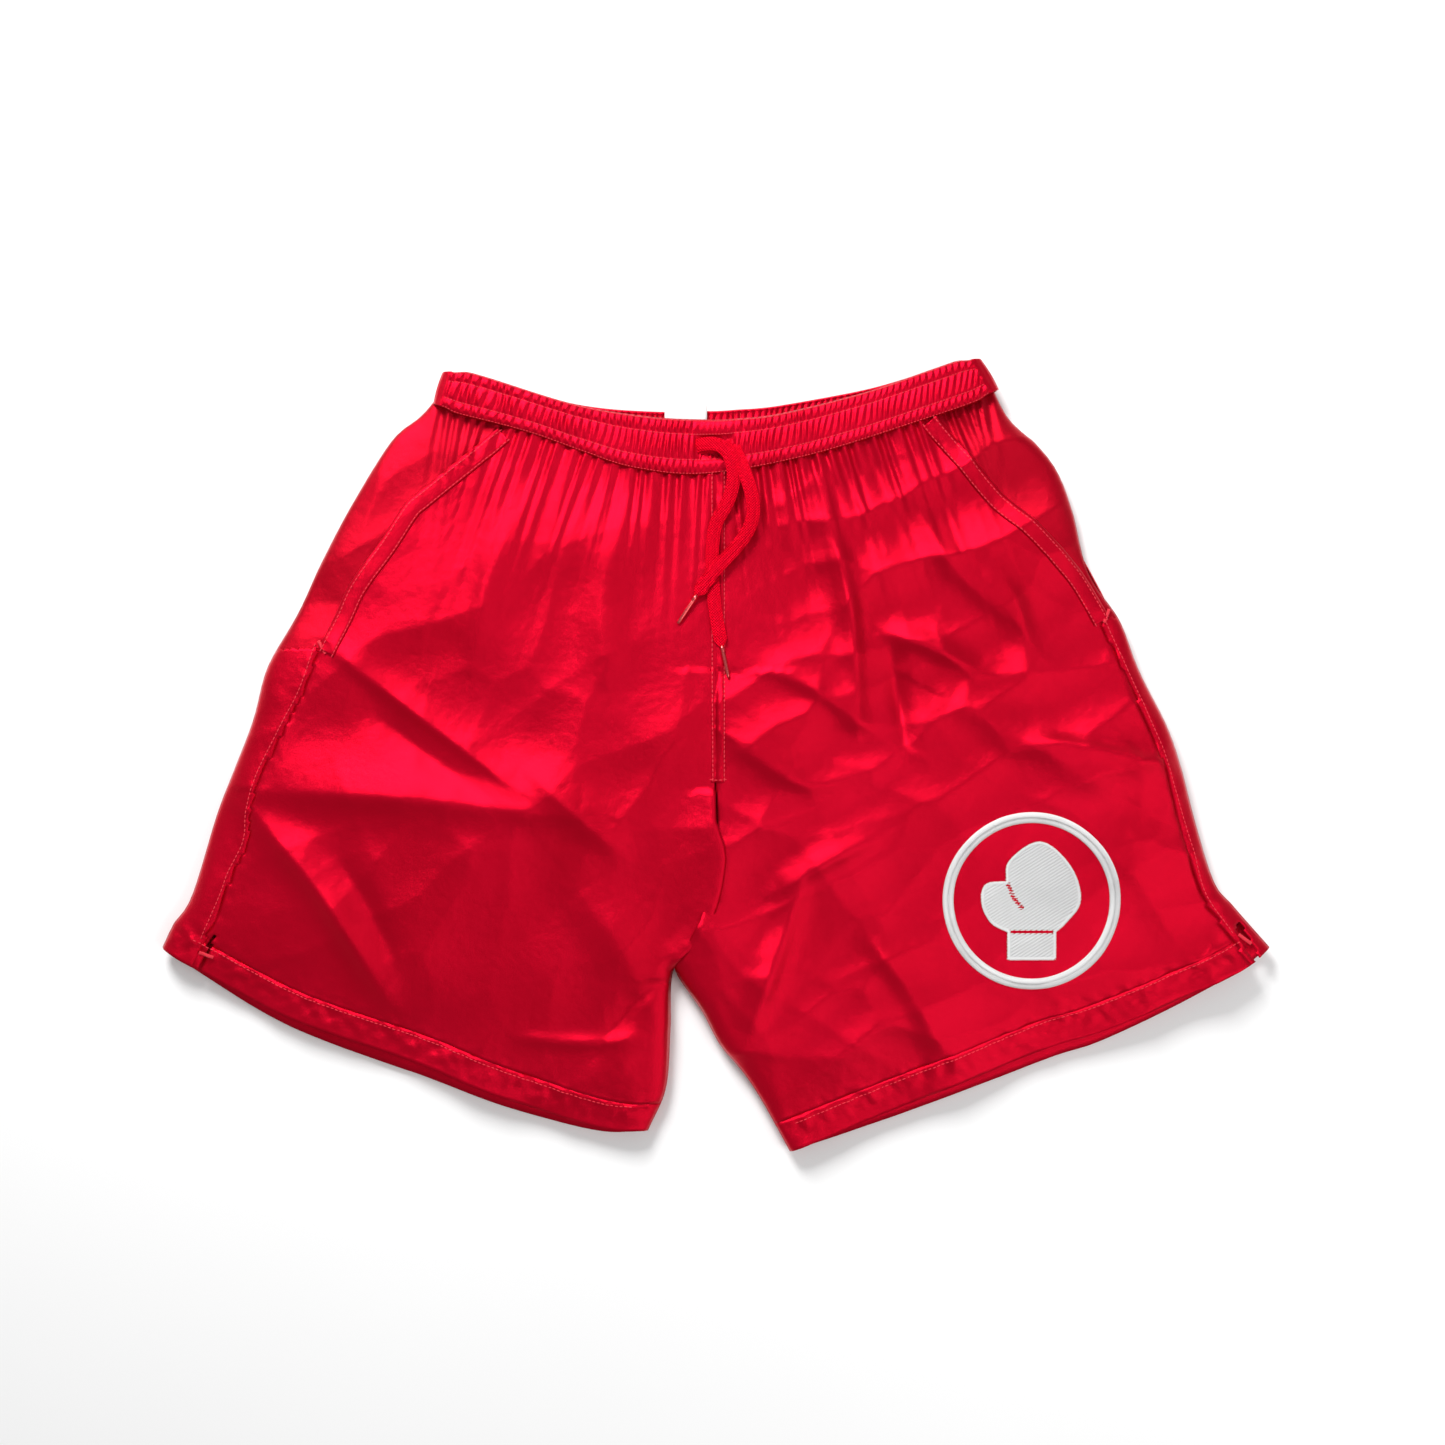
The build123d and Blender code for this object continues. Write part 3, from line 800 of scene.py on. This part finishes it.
ring = band_ring(np.linspace(0, 1, BAND_ROWS), 0.0, True)
stations = ring.shape[1]
ring_faces = np.array(grid_faces(BAND_ROWS, stations, closed=True))
ring_points = ring.reshape(-1, 3)
centres = ring_points[ring_faces].mean(axis=1)
is_front = centres[:, 2] > (BAND_FRONT_Z + BAND_BACK_Z) / 2
for name, mask, up in (("front", is_front, 1), ("back", ~is_front, -1)):
    made["band_" + name] = piece(
        "band_casing_" + name, ring_points, ring_faces[mask], nylon, up=up,
        thick=2.0, node="waistband_" + name,
    )
elastic_finish = woven("elastic_rib", (0.55, 0.01, 0.02), (0.75, 0.03, 0.05), 0.0016, 0.7)
strips, strip_faces = [], []
for low, high in ((0.04, 0.22), (0.78, 0.96)):
    strip = band_ring(np.linspace(low, high, 4), 0.9, False)
    offset = sum(len(s) for s in strips)
    strip_faces += [[i + offset for i in f] for f in grid_faces(4, stations, closed=True)]
    strips.append(strip.reshape(-1, 3))
piece("elastic_in_casing", np.vstack(strips), strip_faces, elastic_finish,
      thick=0.3, node="waist_elastic")
run = band_ring(np.linspace(0.40, 0.62, 4), 1.1, False).reshape(-1, 3)
piece("cord_in_casing", run, grid_faces(4, stations, closed=True), tape, thick=0.3,
      node="drawcord_run")
print("band points", len(ring_points))

# %% [markdown]
# ## Threads by Geometry Nodes
# Sewing repeats one small shape hundreds of times. A point is set where each stitch goes,
# with the way it runs kept as an attribute. The tree puts a slim spindle on each point, turns
# it that way, varies its length a little, and makes the lot real.


# %% The thread tree
def thread_tree():
    tree = bpy.data.node_groups.new("threads_on_points", "GeometryNodeTree")
    face = tree.interface
    face.new_socket("Geometry", in_out="INPUT", socket_type="NodeSocketGeometry")
    for name, value in (("Half Length", 0.0013), ("Radius", 0.0003)):
        face.new_socket(name, in_out="INPUT", socket_type="NodeSocketFloat").default_value = value
    face.new_socket("Thread", in_out="INPUT", socket_type="NodeSocketMaterial")
    face.new_socket("Geometry", in_out="OUTPUT", socket_type="NodeSocketGeometry")
    add, link = tree.nodes.new, tree.links.new
    given, out = add("NodeGroupInput"), add("NodeGroupOutput")
    spindle = add("GeometryNodeMeshUVSphere")
    spindle.inputs["Segments"].default_value = 6
    spindle.inputs["Rings"].default_value = 4
    spindle.inputs["Radius"].default_value = 1.0
    way = add("GeometryNodeInputNamedAttribute")
    way.data_type = "FLOAT_VECTOR"
    way.inputs["Name"].default_value = "way"
    turn = add("FunctionNodeAlignRotationToVector")
    turn.axis = "Z"
    link(way.outputs["Attribute"], turn.inputs["Vector"])
    vary = add("FunctionNodeRandomValue")
    vary.data_type = "FLOAT"
    vary.inputs[2].default_value, vary.inputs[3].default_value = 0.88, 1.06
    vary.inputs["Seed"].default_value = 7
    long_by = add("ShaderNodeMath")
    long_by.operation = "MULTIPLY"
    link(given.outputs["Half Length"], long_by.inputs[0])
    link(vary.outputs[1], long_by.inputs[1])
    size = add("ShaderNodeCombineXYZ")
    link(given.outputs["Radius"], size.inputs["X"])
    link(given.outputs["Radius"], size.inputs["Y"])
    link(long_by.outputs[0], size.inputs["Z"])
    place = add("GeometryNodeInstanceOnPoints")
    link(given.outputs["Geometry"], place.inputs["Points"])
    link(spindle.outputs["Mesh"], place.inputs["Instance"])
    link(turn.outputs[0], place.inputs["Rotation"])
    link(size.outputs[0], place.inputs["Scale"])
    real, paint = add("GeometryNodeRealizeInstances"), add("GeometryNodeSetMaterial")
    link(place.outputs[0], real.inputs[0])
    link(real.outputs[0], paint.inputs["Geometry"])
    link(given.outputs["Thread"], paint.inputs["Material"])
    link(paint.outputs[0], out.inputs[0])
    return tree


threads_tree = thread_tree()
print("thread tree", len(threads_tree.nodes), "nodes")


def threads(name, points, ways, half_length, radius, finish, node=()):
    mesh = bpy.data.meshes.new(name)
    mesh.from_pydata((np.asarray(points) * MM).tolist(), [], [])
    way = mesh.attributes.new("way", "FLOAT_VECTOR", "POINT")
    way.data.foreach_set("vector", np.asarray(ways, float).ravel())
    sewn = bpy.data.objects.new(name, mesh)
    scene.collection.objects.link(sewn)
    live = sewn.modifiers.new("threads", "NODES")
    live.node_group = threads_tree
    values = {"Half Length": half_length * MM, "Radius": radius * MM, "Thread": finish}
    for item in threads_tree.interface.items_tree:
        if item.in_out == "INPUT" and item.name in values:
            live[item.identifier] = values[item.name]
    sewn.update_tag()
    flat = bpy.data.meshes.new_from_object(
        sewn.evaluated_get(bpy.context.evaluated_depsgraph_get())
    )
    sewn.modifiers.clear()
    sewn.data = flat
    flat.polygons.foreach_set("use_smooth", [True] * len(flat.polygons))
    if not flat.materials:
        flat.materials.append(finish)
    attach(sewn, "shorts")
    if node:
        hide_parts(*([node] if isinstance(node, str) else node))
    print(name, len(points), "threads")
    return sewn


def surface(points):
    points = np.asarray(points, float)
    z = np.zeros(len(points))
    for side, mask in (("left", points[:, 0] < 0), ("right", points[:, 0] >= 0)):
        if mask.any():
            z[mask] = front_z(points[mask], side)
    return z


def sewn_line(line, pitch, side=None, rise=0.1):
    """Points every pitch along a line on the front, and the way each stitch runs."""
    length = np.linalg.norm(np.diff(np.asarray(line, float), axis=0), axis=1).sum()
    flat = smooth_path(line, max(int(length / pitch), 3))
    z = (front_z(flat, side) if side else surface(flat)) + rise
    points = np.column_stack([flat, z])
    ways = np.gradient(points, axis=0)
    return points, ways / np.linalg.norm(ways, axis=1)[:, None]


# %% [markdown]
# ## Rows of sewing
# The hems, side seams, pocket welts and the long cross-ended stitching of the mock fly are
# sewn in thread a shade lighter than the cloth.

# %% Sewing on the panels and the band
HEM_STITCHED_AT, STITCH_PITCH = 16.5, 3.0
rows_sewn = []
for side in ("left", "right"):
    sign = 1 if side == "left" else -1
    hem_line = smooth_path(hem_lines[side], 60)[2:-3]
    normal = np.column_stack([-np.gradient(hem_line[:, 1]), np.gradient(hem_line[:, 0])])
    normal /= np.linalg.norm(normal, axis=1)[:, None]
    normal *= np.sign(normal[:, 1])[:, None]
    rows_sewn.append(sewn_line(hem_line + normal * HEM_STITCHED_AT, STITCH_PITCH, side))
    seam = smooth_path(seam_lines[side], 50)
    rows_sewn.append(sewn_line(offset_line(seam, 3.0 * -sign), STITCH_PITCH, side))
    mouth = smooth_path(mouth_lines[side], 60)
    for gap in (2.0, 10.6):
        rows_sewn.append(sewn_line(offset_line(mouth, sign * gap), STITCH_PITCH, side, 1.3))
rows_sewn.append(sewn_line([(-2.5, 184), (-2.5, 80), (-2.0, -17)], STITCH_PITCH, "left", 0.75))
rows_sewn.append(sewn_line([(5.5, 184), (5.5, 80), (5.5, -17)], STITCH_PITCH, "right", 0.75))
rows_sewn.append(sewn_line([(-3, -17), (1, -17.4), (6, -17)], 2.0, "right", 0.75))
threads(
    "sewing_on_panels", np.vstack([r[0] for r in rows_sewn]), np.vstack([r[1] for r in rows_sewn]),
    1.3, 0.34, thread,
)
band_rows = []
for t in (0.03, 0.26, 0.74, 0.965):
    i = int(round(t * (BAND_ROWS - 1)))
    line = ring[i][: len(band_top)][::4]
    ways = np.gradient(line, axis=0)
    band_rows.append((line + [0, 0, 0.12], ways / np.linalg.norm(ways, axis=1)[:, None]))
threads("sewing_on_band", np.vstack([r[0] for r in band_rows]),
        np.vstack([r[1] for r in band_rows]), 0.85, 0.26, thread)

# %% [markdown]
# ## Bar tacks and the mock fly
# A bar tack is a dense row of short stitches laid side by side over two long ones. It locks
# the foot of each pocket and the top of each side vent. The fly is a folded double strip.


# %% Tacks and fly strip
def tack(name, start, end, side, node):
    start, end = np.array(start, float), np.array(end, float)
    count = int(np.linalg.norm(end - start) / 0.42)
    flat = start + (end - start) * np.linspace(0, 1, count)[:, None]
    run = (end - start) / np.linalg.norm(end - start)
    points = np.column_stack([flat, front_z(flat, side) + 0.9])
    ways = np.tile([-run[1], run[0], 0.0], (count, 1))
    return threads(name, points, ways, 1.3, 0.3, thread, node=node)


tack("pocket_tack_left_sewn", (-261, 74), (-256, 66), "left", "pocket_tack_left")
tack("pocket_tack_right_sewn", (259, 95), (255.5, 86.5), "right", "pocket_tack_right")
tack("vent_tack_left_sewn", (-340, -131), (-331, -134), "left", "vent_tack_left")
tack("vent_tack_right_sewn", (344, -119), (352, -125), "right", "vent_tack_right")
across = np.linspace(-4.0, 6.0, 9)
down = np.linspace(189, -19, 150)
fly_flat = np.array([(x, y) for y in down for x in across])
fly_edge = np.tile([-0.5, 0.25, 0.5, 0.6, 0.6, 0.6, 0.5, 0.25, -0.5], len(down))
made["fly"] = piece(
    "fly_strip", np.column_stack([fly_flat, np.maximum(surface(fly_flat), 0) + fly_edge]),
    grid_faces(len(down), len(across)), nylon, up=1, thick=0.6,
    node="fly_placket",
)

# %% [markdown]
# ## The embroidered emblem
# A ring round a plain boxing glove, in white thread. The ring is satin stitch, so its threads
# lie across the stroke. The glove is filled with rows of short stitches and edged in satin.
# A low pad under the threads gives the stroke its rounded height.

# %% Ring and glove
RING_RADIUS, STROKE = 54.8, 7.3
circle = np.linspace(0, 2 * math.pi, 240, endpoint=False)
pad_points, threads_at, threads_way = [], [], []
for share in np.linspace(-0.5, 0.5, 9):
    radius = RING_RADIUS + share * STROKE
    flat = EMBLEM + radius * np.column_stack([np.cos(circle), np.sin(circle)])
    rise = 0.9 * math.sqrt(max(1 - (2 * share) ** 2, 0)) - 0.05
    pad_points.append(np.column_stack([flat, front_z(flat, "right") + rise]))
piece(
    "emblem_ring_pad", np.vstack(pad_points), grid_faces(9, len(circle), closed=True),
    silk, up=1, node="emblem_ring",
)
turns = np.linspace(0, 2 * math.pi, 760, endpoint=False)
outward = np.column_stack([np.cos(turns), np.sin(turns)])
for part in (-0.25, 0.25):
    flat = EMBLEM + outward * (RING_RADIUS + part * STROKE)
    threads_at.append(np.column_stack([flat, front_z(flat, "right") + 0.78]))
    threads_way.append(np.column_stack([outward, np.full(len(turns), -1.1 * part)]))
threads("emblem_ring_threads", np.vstack(threads_at), np.vstack(threads_way), 2.0, 0.27, silk)
glove = np.vstack([
    [(-15, -20), (-15, -38), (15, -38), (15, -20)],
    smooth_path([(20, -16), (31, 0), (25, 22), (6, 38), (-14, 26), (-16, 12)], 40),
    smooth_path([(-17, 12), (-30, 10), (-32, -2), (-26, -14), (-15, -20)], 24)[:-1],
])


def inside(points, outline):
    hit = np.zeros(len(points), bool)
    for a, b in zip(outline, np.roll(outline, -1, axis=0)):
        crosses = (a[1] > points[:, 1]) != (b[1] > points[:, 1])
        slope = (b[0] - a[0]) / (b[1] - a[1] if b[1] != a[1] else 1e-9)
        hit ^= crosses & (points[:, 0] < (points[:, 1] - a[1]) * slope + a[0])
    return hit


cells = np.arange(-40, 41, 1.0)
net = np.array([(x, y) for y in cells for x in cells])


def sewn_over(points):
    """True except along the cuff seam and the thumb seam, where the cloth shows through."""
    thumb, _, _ = nearest(points, [(-16, 12), (-12, 2), (-6, -5)])
    return (np.abs(points[:, 1] + 20.5) > 0.9) & (thumb > 0.9)


within = inside(net, glove) & sewn_over(net)
cell_faces = [f for f in grid_faces(len(cells), len(cells)) if all(within[i] for i in f)]
net_at = net + EMBLEM
piece("emblem_glove_pad", np.column_stack([net_at, front_z(net_at, "right") + 0.45]), cell_faces,
      silk, up=1, node="emblem_motif")
fill, ways = [], []
for n, y in enumerate(np.arange(-38, 38, 0.55)):
    for x in np.arange(-33 + (n % 4) * 0.9, 33, 3.6):
        fill.append((x, y))
fill = np.array(fill)
fill = fill[inside(fill, glove) & sewn_over(fill)]
fill_at = np.column_stack([fill + EMBLEM, front_z(fill + EMBLEM, "right") + 0.72])
threads("emblem_glove_fill", fill_at, np.tile([1.0, 0.06, 0.0], (len(fill), 1)), 1.8, 0.3, silk)
edge_line = np.vstack([glove, glove[:1]])
run = np.concatenate([[0], np.cumsum(np.linalg.norm(np.diff(edge_line, axis=0), axis=1))])
at = np.arange(0, run[-1], 0.5)
border = np.column_stack([np.interp(at, run, edge_line[:, k]) for k in range(2)])
ahead = np.gradient(border, axis=0)
ahead /= np.linalg.norm(ahead, axis=1)[:, None]
border_at = np.column_stack([border + EMBLEM, front_z(border + EMBLEM, "right") + 0.85])
threads("emblem_glove_border", border_at,
        np.column_stack([-ahead[:, 1], ahead[:, 0], np.zeros(len(ahead))]), 1.3, 0.3, silk)

# %% [markdown]
# ## The care label
# A folded white tape is sewn inside the back of the band. Only its top shows.

# %% Label
label_x, label_y = np.linspace(-34, -6, 15), np.linspace(191.9, 231.5, 20)
label_points = [
    (x, y, 7.3 + 0.5 * math.sin(x * 0.22 + y * 0.12)) for y in label_y for x in label_x
]
made["label"] = piece("care_label_tape", label_points, grid_faces(len(label_y), len(label_x)),
                      label_cloth, up=1, thick=0.35, node="care_label")
print("label points", len(label_points))

# %% [markdown]
# ## What each soft piece was cut from
# A table gives, for the front, back and pocket facing of each leg, how the sheet is held, the size
# of its flat cut in metres, its area and what it lies on. A panel's is the flat area of its solid
# in the frame, with a twentieth more cloth for the gathers, which is a maker's estimate. The back's
# includes the strip that wraps forward. The band is 361 mm round its front by 36 mm deep, and is
# cut about a third longer than it lies, which is an estimate as well.

CUTS = {
    "front": ("laid", (0.349, 0.443), 0.1056, "back_cloth_"),
    "back": ("laid", (0.385, 0.464), 0.1354, "floor"),
    "facing": ("laid", (0.1525, 0.1706), 0.0097, "back_cloth_"),
}
sewn_to = {"front_left": [made["fly"]], "band_back": [made["label"]]}
for side in ("left", "right"):
    for part, (held, flat, area, under) in CUTS.items():
        lies_on = under + side if under.endswith("_") else under
for name in ("front", "back"):
    made["band_" + name]
    sewn_to.get("band_" + name, [])
print("sheets declared", 2 * len(CUTS) + 2)
